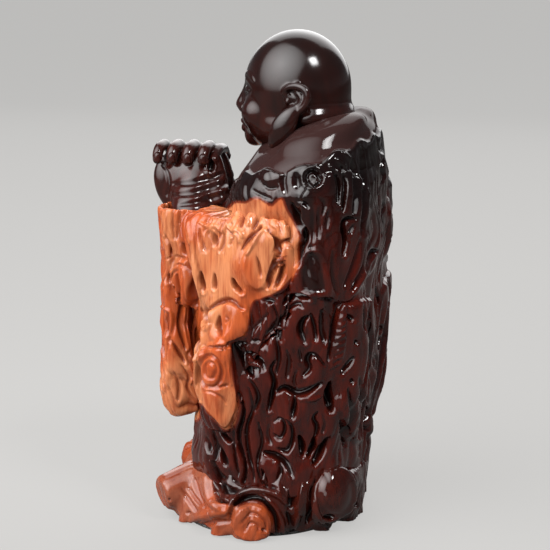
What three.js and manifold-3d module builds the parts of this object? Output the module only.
// A carved wooden figure in a tree-bark robe: a bald, long-eared, stout man who stands on a root
// base with his hands clasped before his chest. Millimetres, +Z up, facing -Y, his left side at +X.
// The origin is on the ground, in the middle of the felt that the figure rests on.
// The carver's blocks are a root base, a robed trunk, a head, a pair of clasped hands and two pale
// sleeves. Glued dowels join them, and a thin glue gap lies between all faces that meet.
import * as THREE from 'three';
import { mergeVertices } from 'three/addons/utils/BufferGeometryUtils.js';
import Module from 'manifold-3d';

// Joints between the blocks
const GLUE_GAP = 0.3;
const DOWEL_END_ROOM = 0.6;

// Felt under the base
const FELT_THICKNESS = 1.5;
const FELT_INSET = 9;

// Root base
const BASE_HEIGHT = 44;
const BASE_HALF_WIDTH = 95;
const BASE_FRONT = 82;
const BASE_BACK = 86;
const BASE_FOOT_CHAMFER = 4;
const BASE_SHOULDER_LIP = 3;
const BASE_SIDES = 42;
const BASE_ROWS = 5;
const ROOT_SWELL = 9;
const ROOT_SPREAD = 0.26;
const STUB_LENGTH = 52;
const STUB_FLARE = 1.45;

// Robed trunk, from the seam on the base to the seat of the neck
const TRUNK_HEIGHT = 291;
const TRUNK_HALF_WIDTH = 84;
const TRUNK_FRONT = 56;
const TRUNK_BACK = 88;
const BELLY_FRONT = 60;
const SHOULDER_HALF_WIDTH = 91;
const COLLAR_HALF_WIDTH = 75;
const MANTLE_BACK = 98;
const ROBE_SQUARENESS = 2.5;
const BARK_RIDGE_COUNT = 14;
const BARK_RIDGE_HEIGHT = 2.6;
const BARK_WANDER = 40;
const MANTLE_HEM_HEIGHT = 208;
const MANTLE_HEM_RISE = 20;
const MANTLE_STEP = 4;
const ROBE_EDGE_STEP = 3;
const ROBE_EDGE_HEIGHT = 292;
const BED_INNER_EDGE = 34;
const SLEEVE_BED_DEPTH = 12;
const BACK_FOLD_HEIGHT = 7;
const BACK_FOLD_TOP = 236;
const TRUNK_SIDES = 56;
const TRUNK_ROWS = 26;

// Neck
const NECK_HALF_WIDTH = 39;
const NECK_FRONT = 0;
const NECK_BACK = 74;
const NECK_TILT = THREE.MathUtils.degToRad(20);

// Head
const HEAD_HEIGHT = 104;
const HEAD_ABOVE_SEAT = 83;
const HEAD_HALF_WIDTH = 42;
const HEAD_FRONT = 44;
const HEAD_BACK = 45;
const HEAD_Y = 28;
const HEAD_SIDES = 30;
const HEAD_ROWS = 20;
const NOSE_REACH = 8;
const BROW_HEIGHT = 2;
const EYE_DEPTH = 3;
const LIP_HEIGHT = 2.4;
const CHIN_REACH = 3;
const CHEEK_SWELL = 3;
const NAPE_ROLL_HEIGHT = 5;
const NAPE_ROLL_SHARE = 0.4;
const EAR_HEIGHT = 30;
const EAR_WIDTH = 22;
const EAR_RIM = 3.2;
const EAR_LEAN = 0.15;
const EAR_FLARE = 0.25;
const LOBE_LENGTH = 32;
const LOBE_RADIUS = 7;

// Sleeves
const SLEEVE_MOUTH_HEIGHT = 273;
const SLEEVE_HEM_HEIGHT = 88;
const MOUTH_X = 32;
const MOUTH_Y = -59;
const MOUTH_HALF_WIDTH = 27;
const MOUTH_HALF_LENGTH = 25;
const CUFF_WALL = 4;
const CUFF_DEPTH = 12;
const FRONT_LOBE_X = 34;
const FRONT_LOBE_Y = -64;
const FRONT_LOBE_DEPTH = 17;
const REAR_LOBE_X = 73;
const REAR_LOBE_Y = -14;
const ELBOW_X = 74;
const ELBOW_Y = 10;
const ELBOW_HEIGHT = 200;
const ELBOW_REACH = 23;
const FOREARM_THICKNESS = 56;
const FOREARM_HEM_HEIGHT = 186;
const SLEEVE_SQUARENESS = 2.2;
const SLEEVE_FOLD_COUNT = 5;
const SLEEVE_FOLD_HEIGHT = 3;
const SLEEVE_SIDES = 20;
const SLEEVE_ROWS = 12;

// Clasped hands
const HANDS_Y = -65;
const HANDS_HALF_WIDTH = 25;
const HANDS_HALF_LENGTH = 31;
const HANDS_HEIGHT = 48;
const FINGER_RADIUS = 6.2;
const FINGER_COUNT = 4;
const FINGER_PITCH = 12.6;
const FINGER_ARCH = 5;
const FINGER_DROOP = 8;
const FINGER_OVERLAP = 3;
const THUMB_RADIUS = 7;
const WRIST_RADIUS = 19;
const WRIST_TOP_X = 15;

// Dowels and other round rods
const DOWEL_SIDES = 12;
const LIMB_SIDES = 16;
const NECK_DOWEL_RADIUS = 8;
const NECK_DOWEL_LENGTH = 44;
const BASE_DOWEL_RADIUS = 7;
const BASE_DOWEL_LENGTH = 46;
const BASE_DOWEL_SPACING = 90;
const BASE_DOWEL_Y = 12;
const WRIST_DOWEL_RADIUS = 4;
const WRIST_DOWEL_LENGTH = 30;
const SLEEVE_DOWEL_RADIUS = 4;
const SLEEVE_DOWEL_LENGTH = 22;
const SLEEVE_DOWEL_SPOTS = [
  { height: SLEEVE_HEM_HEIGHT + 148, angle: THREE.MathUtils.degToRad(-40) },
  { height: SLEEVE_HEM_HEIGHT + 62, angle: THREE.MathUtils.degToRad(-14) },
];

const X = new THREE.Vector3(1, 0, 0);
const Y = new THREE.Vector3(0, 1, 0);
const Z = new THREE.Vector3(0, 0, 1);
const FULL_TURN = 2 * Math.PI;

// Heights that the pieces share
const BASE_BOTTOM = FELT_THICKNESS + GLUE_GAP;
const TRUNK_BOTTOM = BASE_BOTTOM + BASE_HEIGHT + GLUE_GAP;
const NECK_HEIGHT = TRUNK_BOTTOM + TRUNK_HEIGHT;
const NECK_Y = (NECK_BACK + NECK_FRONT) / 2;
const HEAD_TOP = NECK_HEIGHT + HEAD_ABOVE_SEAT;
const EAR_Z = HEAD_TOP - 0.51 * HEAD_HEIGHT;
const PALM_Z = SLEEVE_MOUTH_HEIGHT + HANDS_HEIGHT / 2 - FINGER_RADIUS;
const CUFF_FLOOR = SLEEVE_MOUTH_HEIGHT - CUFF_DEPTH;

const wasm = await Module();
wasm.setup();

function toSolid(geometry) {
  const bare = geometry.clone();
  bare.deleteAttribute('normal');
  bare.deleteAttribute('uv');
  const merged = mergeVertices(bare, 1e-3);
  return new wasm.Manifold(new wasm.Mesh({
    numProp: 3,
    vertProperties: new Float32Array(merged.attributes.position.array),
    triVerts: new Uint32Array(merged.index.array),
  }));
}

function toGeometry(solid) {
  const mesh = solid.getMesh();
  const points = new Float32Array(mesh.numVert * 3);
  for (let i = 0; i < mesh.numVert; i++) {
    points.set(mesh.vertProperties.subarray(i * mesh.numProp, i * mesh.numProp + 3), i * 3);
  }
  const geometry = new THREE.BufferGeometry();
  geometry.setAttribute('position', new THREE.BufferAttribute(points, 3));
  geometry.setIndex(new THREE.BufferAttribute(new Uint32Array(mesh.triVerts), 1));
  const flat = geometry.toNonIndexed();
  flat.computeVertexNormals();
  return flat;
}

const joined = (solids) => solids.reduce((sum, solid) => sum.add(solid));
const smoothStep = (x, low, high) => THREE.MathUtils.smoothstep(x, low, high);
const bump = (x, middle, spread) => Math.exp(-(((x - middle) / spread) ** 2));

// One field of a list of stations, on a smooth curve through them, at a share of the whole run.
function along(stations, share, field) {
  const run = share * (stations.length - 1);
  const index = Math.min(Math.floor(run), stations.length - 2);
  const t = run - index;
  const [a, b, c, d] = [-1, 0, 1, 2].map((step) =>
    stations[THREE.MathUtils.clamp(index + step, 0, stations.length - 1)][field]);
  const cubic = -a + 3 * b - 3 * c + d;
  const square = 2 * a - 5 * b + 4 * c - d;
  return 0.5 * (2 * b + (c - a) * t + square * t * t + cubic * t * t * t);
}

// A closed skin over rings. ring(angle, share) gives a point at an angle from +X, and each end of
// the run is closed by a flat face round middle(share).
function ringLoft(segments, rows, ring, middle) {
  const geometry = new THREE.CylinderGeometry(1, 1, 1, segments, rows);
  const position = geometry.getAttribute('position');
  const point = new THREE.Vector3();
  for (let i = 0; i < position.count; i++) {
    point.fromBufferAttribute(position, i);
    const spread = Math.hypot(point.x, point.z);
    const share = point.y + 0.5;
    const centre = middle(share);
    if (spread > 0.5) {
      const skin = ring(Math.atan2(point.x, point.z), share);
      position.setXYZ(i, skin.x, skin.y, skin.z);
    } else {
      position.setXYZ(i, centre.x, centre.y, centre.z);
    }
  }
  return geometry;
}

// The radius of a rounded-square oval at an angle from +X.
function ovalRadius(angle, halfWidth, halfDepth, squareness = 2) {
  const across = (Math.abs(Math.cos(angle)) / halfWidth) ** squareness;
  const deep = (Math.abs(Math.sin(angle)) / halfDepth) ** squareness;
  return (across + deep) ** (-1 / squareness);
}

// A loft of level ovals through stations of height, x, y, halfWidth and halfDepth, with soft folds
// that run up it.
function ovalLoft(stations, segments, rows, squareness, turn = 0, foldHeight = 0) {
  const centre = (share) => new THREE.Vector3(
    along(stations, share, 'x'), along(stations, share, 'y'), along(stations, share, 'height'));
  const ring = (angle, share) => {
    const plain = ovalRadius(angle, along(stations, share, 'halfWidth'),
      along(stations, share, 'halfDepth'), squareness);
    const fold = Math.sin(Math.PI * share) * Math.cos(SLEEVE_FOLD_COUNT * angle + 3 * share);
    return centre(share)
      .add(new THREE.Vector3(plain + foldHeight * fold, 0, 0).applyAxisAngle(Z, angle + turn));
  };
  return toSolid(ringLoft(segments, rows, ring, centre));
}

// A ball stretched to three half sizes and placed.
function ellipsoid(centre, halfSizes, segments) {
  const ball = new THREE.SphereGeometry(1, segments, Math.round(segments * 0.625));
  ball.scale(...halfSizes);
  ball.translate(...centre);
  return toSolid(ball);
}

// A round-ended rod from one point to another.
function capsule(from, to, radius) {
  const start = new THREE.Vector3(...from);
  const end = new THREE.Vector3(...to);
  const rod = new THREE.CapsuleGeometry(radius, start.distanceTo(end), 2, 8);
  const turn = new THREE.Quaternion().setFromUnitVectors(Y, end.clone().sub(start).normalize());
  rod.applyQuaternion(turn);
  rod.translate(...start.add(end).multiplyScalar(0.5));
  return toSolid(rod);
}

// A plain or tapered cylinder round a middle point, along a direction.
function cylinder(middle, direction, radius, length, sides = DOWEL_SIDES, farRadius = radius) {
  const rod = new THREE.CylinderGeometry(farRadius, radius, length, sides);
  rod.applyQuaternion(new THREE.Quaternion().setFromUnitVectors(Y, direction));
  rod.translate(middle.x, middle.y, middle.z);
  return rod;
}

// Everything on the far side of a plane, as a block big enough for the figure.
function beyond(point, normal) {
  const size = 4 * (BASE_HALF_WIDTH + TRUNK_HEIGHT);
  const block = new THREE.BoxGeometry(size, size, size);
  block.translate(0, size / 2, 0);
  block.applyQuaternion(new THREE.Quaternion().setFromUnitVectors(Y, normal));
  block.translate(point.x, point.y, point.z);
  return toSolid(block);
}

// Trunk: stations from the seam up to the tilted seat of the neck, as shares of its height
const trunkStations = [
  { share: 0, halfWidth: TRUNK_HALF_WIDTH, front: TRUNK_FRONT, back: TRUNK_BACK, tilt: 0 },
  { share: 0.12, halfWidth: TRUNK_HALF_WIDTH - 3, front: TRUNK_FRONT - 4, back: TRUNK_BACK - 5, tilt: 0 },
  { share: 0.26, halfWidth: TRUNK_HALF_WIDTH + 1, front: TRUNK_FRONT - 2, back: TRUNK_BACK + 1, tilt: 0 },
  { share: 0.4, halfWidth: TRUNK_HALF_WIDTH + 4, front: BELLY_FRONT - 1, back: TRUNK_BACK + 5, tilt: 0 },
  { share: 0.54, halfWidth: SHOULDER_HALF_WIDTH, front: BELLY_FRONT, back: TRUNK_BACK + 5, tilt: 0 },
  { share: 0.67, halfWidth: SHOULDER_HALF_WIDTH + 1, front: BELLY_FRONT - 16, back: TRUNK_BACK + 5, tilt: 0 },
  { share: 0.79, halfWidth: SHOULDER_HALF_WIDTH, front: BELLY_FRONT - 33, back: MANTLE_BACK - 1, tilt: 0.1 },
  { share: 0.885, halfWidth: COLLAR_HALF_WIDTH + 11, front: BELLY_FRONT - 42, back: MANTLE_BACK, tilt: 0.4 },
  { share: 0.945, halfWidth: COLLAR_HALF_WIDTH, front: 10 - NECK_FRONT, back: MANTLE_BACK - 2, tilt: 0.75 },
  { share: 0.985, halfWidth: NECK_HALF_WIDTH + 15, front: 4 - NECK_FRONT, back: NECK_BACK + 12, tilt: 0.97 },
  { share: 1, halfWidth: NECK_HALF_WIDTH, front: -NECK_FRONT, back: NECK_BACK, tilt: 1 },
];

// How far back the sleeve's rear edge lies at a height.
function sleeveRearEdge(height) {
  const share = (height - SLEEVE_HEM_HEIGHT) / (SLEEVE_MOUTH_HEIGHT - SLEEVE_HEM_HEIGHT);
  return REAR_LOBE_Y + 6 + 60 * smoothStep(share, 0.15, 0.72) - 30 * smoothStep(share, 0.95, 1.3);
}

// How far the trunk's carving stands out from its plain oval.
function trunkRelief(angle, x, y, height) {
  const edge = ROBE_EDGE_HEIGHT + 0.28 * (y - NECK_Y) + 3 * Math.sin(5 * angle);
  const robe = 1 - smoothStep(height, edge - 5, edge + 5);
  const bed = smoothStep(sleeveRearEdge(height) - y, -4, 14)
    * smoothStep(Math.abs(x), BED_INNER_EDGE - 8, BED_INNER_EDGE + 8)
    * smoothStep(height, SLEEVE_HEM_HEIGHT, SLEEVE_HEM_HEIGHT + 24)
    * (1 - smoothStep(height, SLEEVE_MOUTH_HEIGHT - 4, SLEEVE_MOUTH_HEIGHT + 18));
  const wander = 0.9 * Math.sin(height / BARK_WANDER) + 0.6 * Math.sin(2.4 * height / BARK_WANDER + 2);
  const bark = Math.cos(BARK_RIDGE_COUNT * angle + 2 * wander) * (0.8 + 0.2 * Math.sin(3 * angle + wander));
  const hem = MANTLE_HEM_HEIGHT + MANTLE_HEM_RISE * smoothStep(y, TRUNK_BACK - 20, TRUNK_BACK);
  const mantle = smoothStep(height, hem - 5, hem + 5) * (1 - smoothStep(height, hem + 20, hem + 70));
  const fold = bump(Math.abs(Math.cos(angle)), 0.62, 0.2) * smoothStep(y, 20, 60)
    * smoothStep(height, SLEEVE_HEM_HEIGHT - 8, SLEEVE_HEM_HEIGHT + 6)
    * (1 - smoothStep(height, BACK_FOLD_TOP - 40, BACK_FOLD_TOP));
  return robe * ROBE_EDGE_STEP + robe * (1 - bed) * (BARK_RIDGE_HEIGHT * bark + MANTLE_STEP * mantle)
    - SLEEVE_BED_DEPTH * bed + BACK_FOLD_HEIGHT * fold;
}

// The trunk's skin, grown on all sides by an allowance.
function trunkSkin(allowance) {
  const run = TRUNK_HEIGHT + 2 * allowance;
  const level = (share) => TRUNK_BOTTOM - allowance + along(trunkStations, share, 'share') * run;
  const middleY = (share) => (along(trunkStations, share, 'back') - along(trunkStations, share, 'front')) / 2;
  const slope = (share) => Math.tan(NECK_TILT * along(trunkStations, share, 'tilt'));
  const height = (share, y) => level(share) + (y - NECK_Y) * slope(share);
  const middle = (share) => new THREE.Vector3(0, middleY(share), height(share, middleY(share)));
  const ring = (angle, share) => {
    const halfDepth = (along(trunkStations, share, 'back') + along(trunkStations, share, 'front')) / 2;
    const squareness = ROBE_SQUARENESS - 0.5 * along(trunkStations, share, 'tilt');
    const plain = ovalRadius(angle, along(trunkStations, share, 'halfWidth'), halfDepth, squareness);
    const plainX = plain * Math.cos(angle);
    const plainY = middleY(share) + plain * Math.sin(angle);
    const relief = trunkRelief(angle, plainX, plainY, height(share, plainY));
    const radius = plain + relief + allowance;
    const y = middleY(share) + radius * Math.sin(angle);
    return new THREE.Vector3(radius * Math.cos(angle), y, height(share, y));
  };
  return toSolid(ringLoft(TRUNK_SIDES, TRUNK_ROWS, ring, middle));
}

// A dowel and the hole that takes it.
function dowel(middle, direction, radius, length) {
  return {
    rod: toSolid(cylinder(middle, direction, radius, length)),
    hole: toSolid(cylinder(middle, direction, radius + GLUE_GAP, length + 2 * DOWEL_END_ROOM)),
  };
}

// The middle line of a wrist, from the palm down to the floor of the sleeve's mouth.
function wristLine(side) {
  const top = new THREE.Vector3(side * WRIST_TOP_X, HANDS_Y, PALM_Z);
  const floor = new THREE.Vector3(side * MOUTH_X, MOUTH_Y, CUFF_FLOOR);
  const direction = floor.clone().sub(top).normalize();
  return { top, floor, direction };
}

const neckNormal = Z.clone().applyAxisAngle(X, NECK_TILT);
const neckSeat = new THREE.Vector3(0, NECK_Y, NECK_HEIGHT);
const neckDowel = dowel(neckSeat, neckNormal, NECK_DOWEL_RADIUS, NECK_DOWEL_LENGTH);

const sides = [['left', 1], ['right', -1]];
const baseDowels = {};
const wristDowels = {};
const sleeveDowels = {};
for (const [name, side] of sides) {
  const baseSpot = new THREE.Vector3(side * BASE_DOWEL_SPACING / 2, BASE_DOWEL_Y, TRUNK_BOTTOM);
  baseDowels[name] = dowel(baseSpot, Z, BASE_DOWEL_RADIUS, BASE_DOWEL_LENGTH);
  const wrist = wristLine(side);
  wristDowels[name] = dowel(wrist.floor, wrist.direction, WRIST_DOWEL_RADIUS, WRIST_DOWEL_LENGTH);
  sleeveDowels[name] = SLEEVE_DOWEL_SPOTS.map(({ height, angle }) => {
    const outwards = new THREE.Vector3(side * Math.cos(angle), Math.sin(angle), 0);
    const middleY = (TRUNK_BACK - BELLY_FRONT) / 2;
    const halfDepth = (TRUNK_BACK + BELLY_FRONT) / 2;
    const skin = ovalRadius(angle, SHOULDER_HALF_WIDTH, halfDepth, ROBE_SQUARENESS);
    const spot = new THREE.Vector3(0, middleY, height).addScaledVector(outwards, skin - SLEEVE_BED_DEPTH);
    return dowel(spot, outwards, SLEEVE_DOWEL_RADIUS, SLEEVE_DOWEL_LENGTH);
  });
}

// Root base: an oval foot whose roots run down and out to sawn stubs. Angles are from +X, in degrees.
const rootStubs = [
  { angle: -50, reach: 99, height: 21, radius: 15, lift: -0.2 },
  { angle: -4, reach: 99, height: 18, radius: 16, lift: -0.2 },
  { angle: 49, reach: 101, height: 34, radius: 24, lift: 0.12 },
  { angle: 98, reach: 90, height: 22, radius: 18, lift: -0.1 },
  { angle: 150, reach: 98, height: 27, radius: 21, lift: 0.05 },
  { angle: 200, reach: 98, height: 19, radius: 16, lift: -0.2 },
  { angle: 242, reach: 94, height: 22, radius: 15, lift: -0.1 },
];

function rootBase() {
  const footY = (BASE_BACK - BASE_FRONT) / 2;
  const seamY = (TRUNK_BACK - TRUNK_FRONT) / 2;
  const climb = (share) => smoothStep(share, 0.2, 1);
  const middle = (share) => new THREE.Vector3(
    0, THREE.MathUtils.lerp(footY, seamY, climb(share)), BASE_BOTTOM + share * BASE_HEIGHT);
  const ring = (angle, share) => {
    const foot = ovalRadius(angle, BASE_HALF_WIDTH, (BASE_BACK + BASE_FRONT) / 2)
      - BASE_FOOT_CHAMFER * (1 - smoothStep(share, 0, 0.15));
    const seam = BASE_SHOULDER_LIP
      + ovalRadius(angle, TRUNK_HALF_WIDTH, (TRUNK_BACK + TRUNK_FRONT) / 2, ROBE_SQUARENESS);
    let root = 0;
    for (const stub of rootStubs) {
      const off = Math.abs(THREE.MathUtils.euclideanModulo(
        angle - THREE.MathUtils.degToRad(stub.angle) + Math.PI, FULL_TURN) - Math.PI);
      root = Math.max(root, bump(off, 0, ROOT_SPREAD));
    }
    const radius = THREE.MathUtils.lerp(foot, seam, climb(share)) + ROOT_SWELL * (root - 0.5) * (1 - share);
    return middle(share).add(new THREE.Vector3(radius * Math.cos(angle), radius * Math.sin(angle), 0));
  };
  const foot = toSolid(ringLoft(BASE_SIDES, BASE_ROWS, ring, middle));
  const stubs = rootStubs.map(({ angle, reach, height, radius, lift }) => {
    const turn = THREE.MathUtils.degToRad(angle);
    const direction = new THREE.Vector3(Math.cos(turn), Math.sin(turn), lift).normalize();
    const end = new THREE.Vector3(reach * Math.cos(turn), reach * Math.sin(turn), BASE_BOTTOM + height);
    const middlePoint = end.addScaledVector(direction, -STUB_LENGTH / 2);
    return toSolid(cylinder(middlePoint, direction, radius * STUB_FLARE, STUB_LENGTH, LIMB_SIDES, radius));
  });
  return joined([foot, ...stubs])
    .subtract(beyond(new THREE.Vector3(0, 0, BASE_BOTTOM), Z.clone().negate()))
    .subtract(trunkSkin(GLUE_GAP))
    .subtract(baseDowels.left.hole)
    .subtract(baseDowels.right.hole);
}

// Left sleeve: a front drape that hangs from the mouth, a rear drape under the elbow and the forearm
// between them. Each station is a height, a middle and two half sizes.
function drape(stations) {
  return stations.map(([height, x, y, halfWidth, halfDepth]) => ({ height, x, y, halfWidth, halfDepth }));
}

const frontDrape = drape([
  [SLEEVE_HEM_HEIGHT, FRONT_LOBE_X, FRONT_LOBE_Y, 8, 8],
  [SLEEVE_HEM_HEIGHT + 7, FRONT_LOBE_X, FRONT_LOBE_Y, 15, FRONT_LOBE_DEPTH - 3],
  [SLEEVE_HEM_HEIGHT + 30, FRONT_LOBE_X, FRONT_LOBE_Y, 19, FRONT_LOBE_DEPTH],
  [SLEEVE_HEM_HEIGHT + 80, FRONT_LOBE_X - 2, FRONT_LOBE_Y, 21, FRONT_LOBE_DEPTH],
  [SLEEVE_MOUTH_HEIGHT - 60, MOUTH_X, MOUTH_Y - 3, MOUTH_HALF_WIDTH - 5, MOUTH_HALF_LENGTH - 6],
  [SLEEVE_MOUTH_HEIGHT - 30, MOUTH_X, MOUTH_Y, MOUTH_HALF_WIDTH, MOUTH_HALF_LENGTH],
  [SLEEVE_MOUTH_HEIGHT - 6, MOUTH_X, MOUTH_Y, MOUTH_HALF_WIDTH, MOUTH_HALF_LENGTH],
  [SLEEVE_MOUTH_HEIGHT, MOUTH_X, MOUTH_Y, MOUTH_HALF_WIDTH - 1, MOUTH_HALF_LENGTH - 1],
]);
const rearDrape = drape([
  [SLEEVE_HEM_HEIGHT, REAR_LOBE_X, REAR_LOBE_Y, 10, 10],
  [SLEEVE_HEM_HEIGHT + 8, REAR_LOBE_X, REAR_LOBE_Y, 18, 18],
  [SLEEVE_HEM_HEIGHT + 34, REAR_LOBE_X + 1, REAR_LOBE_Y, 21, 24],
  [SLEEVE_HEM_HEIGHT + 76, REAR_LOBE_X + 2, REAR_LOBE_Y + 6, 22, 31],
  [ELBOW_HEIGHT - 15, ELBOW_X, ELBOW_Y, ELBOW_REACH, 42],
  [ELBOW_HEIGHT + 25, ELBOW_X, ELBOW_Y + 3, ELBOW_REACH, 42],
  [SLEEVE_MOUTH_HEIGHT - 14, ELBOW_X, ELBOW_Y + 6, ELBOW_REACH - 1, 38],
  [SLEEVE_MOUTH_HEIGHT, ELBOW_X - 5, ELBOW_Y + 10, ELBOW_REACH - 3, 30],
  [SLEEVE_MOUTH_HEIGHT + 8, ELBOW_X - 9, ELBOW_Y + 14, 14, 20],
]);

// The forearm runs from under the elbow to the mouth, so its ovals lie along that line.
function forearm() {
  const mouth = new THREE.Vector2(MOUTH_X, MOUTH_Y);
  const elbow = new THREE.Vector2(ELBOW_X, ELBOW_Y);
  const run = elbow.clone().sub(mouth);
  const middle = mouth.clone().add(elbow).divideScalar(2);
  const halfLength = run.length() / 2 + MOUTH_HALF_LENGTH / 2;
  const half = FOREARM_THICKNESS / 2;
  const station = (height, shorter, thinner) => (
    [height, middle.x, middle.y, halfLength - shorter, half - thinner]);
  return ovalLoft(drape([
    station(FOREARM_HEM_HEIGHT, 26, 12),
    station(FOREARM_HEM_HEIGHT + 10, 12, 4),
    station(FOREARM_HEM_HEIGHT + 34, 4, 0),
    station(SLEEVE_MOUTH_HEIGHT - 22, 4, 0),
    station(SLEEVE_MOUTH_HEIGHT - 6, 6, 3),
    station(SLEEVE_MOUTH_HEIGHT - 1, 14, 9),
  ]), SLEEVE_SIDES, SLEEVE_ROWS, SLEEVE_SQUARENESS, run.angle(), SLEEVE_FOLD_HEIGHT);
}

// The hollow of a sleeve's mouth, drawn in all round by a clearance.
function cuffHollow(side, clearance) {
  const stations = [-CUFF_DEPTH + clearance, CUFF_DEPTH].map((rise) => ({
    height: SLEEVE_MOUTH_HEIGHT + rise,
    x: side * MOUTH_X,
    y: MOUTH_Y,
    halfWidth: MOUTH_HALF_WIDTH - CUFF_WALL - clearance,
    halfDepth: MOUTH_HALF_LENGTH - CUFF_WALL - clearance,
  }));
  return ovalLoft(stations, SLEEVE_SIDES, 1, 2);
}

const leftDrapes = [frontDrape, rearDrape].map((stations) =>
  ovalLoft(stations, SLEEVE_SIDES, SLEEVE_ROWS, SLEEVE_SQUARENESS, 0, SLEEVE_FOLD_HEIGHT));
const leftCloth = joined([...leftDrapes, forearm()]);

function sleeve(name, side) {
  const cloth = side > 0 ? leftCloth : leftCloth.mirror([1, 0, 0]);
  const pinHoles = sleeveDowels[name].map((pin) => pin.hole);
  const bodies = cloth
    .subtract(joined([trunkSkin(GLUE_GAP), cuffHollow(side, 0), wristDowels[name].hole, ...pinHoles]))
    .decompose();
  return bodies.reduce((most, solid) => (solid.volume() > most.volume() ? solid : most));
}

// A finger that lies across the top of the hands and droops over their far side.
function finger(side, y, z) {
  const length = HANDS_HALF_WIDTH - 2 * FINGER_RADIUS + FINGER_OVERLAP;
  const rod = new THREE.CapsuleGeometry(FINGER_RADIUS, length, 2, 8, 3);
  rod.rotateZ(-side * Math.PI / 2);
  rod.translate(side * (length / 2 - FINGER_OVERLAP + FINGER_RADIUS), y, z);
  const position = rod.getAttribute('position');
  for (let i = 0; i < position.count; i++) {
    const reach = side * position.getX(i) / HANDS_HALF_WIDTH;
    position.setZ(i, position.getZ(i) - FINGER_DROOP * smoothStep(reach, 0.25, 1));
  }
  return toSolid(rod);
}

// Clasped hands: palms together, with each hand's fingers laid over the top and down on the other
function claspedHands() {
  const knuckleZ = SLEEVE_MOUTH_HEIGHT + HANDS_HEIGHT - 2 * FINGER_RADIUS;
  const palmHalfHeight = HANDS_HEIGHT / 2 - FINGER_RADIUS + 2;
  const front = HANDS_Y - HANDS_HALF_LENGTH;
  const back = HANDS_Y + HANDS_HALF_LENGTH;
  const solids = [];
  for (const side of [1, -1]) {
    const palmSize = [HANDS_HALF_WIDTH * 0.55, HANDS_HALF_LENGTH, palmHalfHeight];
    solids.push(ellipsoid([side * HANDS_HALF_WIDTH * 0.45, HANDS_Y, PALM_Z + 1], palmSize, 14));
    for (let i = 0; i < FINGER_COUNT; i++) {
      const lace = side > 0 ? 0 : 0.35;
      const y = front + FINGER_RADIUS + FINGER_PITCH * (i + lace);
      const z = knuckleZ + FINGER_ARCH * Math.sin(Math.PI * (i + 0.7) / FINGER_COUNT);
      solids.push(finger(side, y, z));
    }
    const thumbFoot = [side * 8, back - THUMB_RADIUS + 3, PALM_Z - THUMB_RADIUS];
    const thumbTip = [side * 9, back - THUMB_RADIUS - 4, knuckleZ - 1];
    solids.push(capsule(thumbFoot, thumbTip, THUMB_RADIUS));
    const wrist = wristLine(side);
    const wristLength = wrist.top.distanceTo(wrist.floor) + CUFF_DEPTH;
    const wristMiddle = wrist.top.clone().addScaledVector(wrist.direction, wristLength / 2);
    solids.push(toSolid(cylinder(wristMiddle, wrist.direction, WRIST_RADIUS, wristLength, LIMB_SIDES)));
  }
  const aboveMouths = beyond(new THREE.Vector3(0, 0, SLEEVE_MOUTH_HEIGHT + GLUE_GAP), Z);
  return joined(solids)
    .intersect(joined([aboveMouths, cuffHollow(1, GLUE_GAP), cuffHollow(-1, GLUE_GAP)]))
    .subtract(joined([trunkSkin(GLUE_GAP), wristDowels.left.hole, wristDowels.right.hole]));
}

// Head: rings from under the chin to the crown, with the features as soft swells on them. A share
// of the run gives a height, and a feature lies at a turn from the face's middle line.
const headStations = [
  { width: 1.2, front: 1.6, back: 0.62 },
  { width: 1.14, front: 1.22, back: 0.74 },
  { width: 1.02, front: 1, back: 0.92 },
  { width: 1, front: 1, back: 1 },
  { width: 0.98, front: 0.98, back: 1 },
];
const faceFeatures = [
  { turn: 0, share: 0.47, wide: 0.22, tall: 0.055, height: NOSE_REACH },
  { turn: 0, share: 0.55, wide: 0.16, tall: 0.06, height: NOSE_REACH * 0.45 },
  { turn: 0.3, share: 0.615, wide: 0.3, tall: 0.04, height: BROW_HEIGHT },
  { turn: 0.38, share: 0.565, wide: 0.2, tall: 0.045, height: -EYE_DEPTH },
  { turn: 0.7, share: 0.44, wide: 0.35, tall: 0.12, height: CHEEK_SWELL },
  { turn: 0, share: 0.375, wide: 0.24, tall: 0.04, height: LIP_HEIGHT },
  { turn: 0, share: 0.2, wide: 0.3, tall: 0.07, height: CHIN_REACH },
];

function headSkin() {
  const poles = 0.03;
  const rise = (share) => Math.PI * (poles + (1 - 2 * poles) * share);
  const level = (share) => (1 - Math.cos(rise(share))) / 2;
  const middle = (share) => new THREE.Vector3(0, HEAD_Y, HEAD_TOP - HEAD_HEIGHT * (1 - level(share)));
  const ring = (angle, share) => {
    const round = Math.sin(rise(share));
    const front = HEAD_FRONT * along(headStations, share, 'front');
    const back = HEAD_BACK * along(headStations, share, 'back');
    const halfWidth = HEAD_HALF_WIDTH * along(headStations, share, 'width');
    const plain = round * ovalRadius(angle, halfWidth, Math.sin(angle) < 0 ? front : back);
    const turn = Math.abs(Math.atan2(Math.cos(angle), -Math.sin(angle)));
    const nape = NAPE_ROLL_HEIGHT * bump(level(share), NAPE_ROLL_SHARE, 0.07) * smoothStep(turn, 1.6, 2);
    const relief = faceFeatures.reduce((sum, feature) => sum + feature.height
      * bump(turn, feature.turn, feature.wide) * bump(level(share), feature.share, feature.tall), nape);
    return middle(share).add(new THREE.Vector3(plain + relief * smoothStep(round, 0, 0.4), 0, 0)
      .applyAxisAngle(Z, angle));
  };
  return toSolid(ringLoft(HEAD_SIDES, HEAD_ROWS, ring, middle));
}

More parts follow.
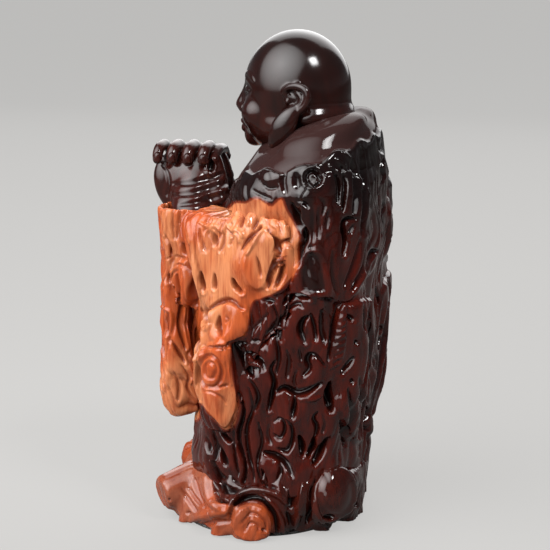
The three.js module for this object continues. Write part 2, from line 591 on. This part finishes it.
function ear(side) {
  const centre = new THREE.Vector3(side * (HEAD_HALF_WIDTH - 1), HEAD_Y + 5, EAR_Z);
  const seat = (geometry) => {
    geometry.rotateY(Math.PI / 2);
    geometry.rotateX(-EAR_LEAN);
    geometry.rotateZ(side * EAR_FLARE);
    geometry.translate(centre.x, centre.y, centre.z);
    return toSolid(geometry);
  };
  const rim = new THREE.TorusGeometry(1, 2 * EAR_RIM / EAR_HEIGHT, 6, 16);
  rim.scale(EAR_HEIGHT / 2 - EAR_RIM, EAR_WIDTH / 2 - EAR_RIM, EAR_HEIGHT / 2);
  const bowl = new THREE.SphereGeometry(1, 12, 6);
  bowl.scale(EAR_HEIGHT / 2 - EAR_RIM, EAR_WIDTH / 2 - EAR_RIM, EAR_RIM - 1);
  const lobeTop = [centre.x + side, centre.y - 1, EAR_Z - EAR_HEIGHT / 2];
  const lobeEnd = [centre.x + side, centre.y - 0.42 * LOBE_LENGTH, lobeTop[2] - 0.75 * LOBE_LENGTH];
  return seat(rim).add(seat(bowl)).add(capsule(lobeTop, lobeEnd, LOBE_RADIUS));
}

function head() {
  const neck = new THREE.CylinderGeometry(1, 1, 4 * NAPE_ROLL_HEIGHT, HEAD_SIDES);
  neck.scale(NECK_HALF_WIDTH - 1, 1.6, (NECK_BACK - NECK_FRONT) / 2 - 1);
  neck.applyQuaternion(new THREE.Quaternion().setFromUnitVectors(Y, neckNormal));
  neck.translate(0, NECK_Y, NECK_HEIGHT);
  return joined([headSkin(), toSolid(neck), ear(1), ear(-1)])
    .subtract(trunkSkin(GLUE_GAP))
    .subtract(neckDowel.hole);
}

function feltSheet() {
  const halfDepth = (BASE_BACK + BASE_FRONT) / 2 - FELT_INSET;
  const sheet = new THREE.CylinderGeometry(1, 1, FELT_THICKNESS, BASE_SIDES);
  sheet.scale(BASE_HALF_WIDTH - FELT_INSET, 1, halfDepth);
  sheet.rotateX(Math.PI / 2);
  sheet.translate(0, (BASE_BACK - BASE_FRONT) / 2, FELT_THICKNESS / 2);
  return toSolid(sheet);
}

function trunk() {
  const pins = [neckDowel, ...Object.values(baseDowels), ...Object.values(sleeveDowels).flat()];
  return trunkSkin(0).subtract(joined(pins.map((pin) => pin.hole)));
}

// Finishes
const darkWood = new THREE.MeshStandardMaterial({ color: '#24100c', roughness: 0.28 });
const redWood = new THREE.MeshStandardMaterial({ color: '#3c140c', roughness: 0.25 });
const paleWood = new THREE.MeshStandardMaterial({ color: '#b4522a', roughness: 0.3 });
const beech = new THREE.MeshStandardMaterial({ color: '#c9a274', roughness: 0.7 });
const felt = new THREE.MeshStandardMaterial({ color: '#1d1b1a', roughness: 1 });

const figure = new THREE.Group();
function place(name, solid, material) {
  const mesh = new THREE.Mesh(toGeometry(solid), material);
  mesh.name = name;
  figure.add(mesh);
}

place('felt_sheet', feltSheet(), felt);
place('root_base', rootBase(), paleWood);
place('trunk_robe', trunk(), redWood);
place('head', head(), darkWood);
place('clasped_hands', claspedHands(), darkWood);
place('neck_dowel', neckDowel.rod, beech);
for (const [name, side] of sides) {
  place(`${name}_sleeve`, sleeve(name, side), paleWood);
  place(`${name}_base_dowel`, baseDowels[name].rod, beech);
  place(`${name}_wrist_dowel`, wristDowels[name].rod, beech);
  sleeveDowels[name].forEach((pin, i) => place(`${name}_sleeve_dowel_${i + 1}`, pin.rod, beech));
}

export default figure;
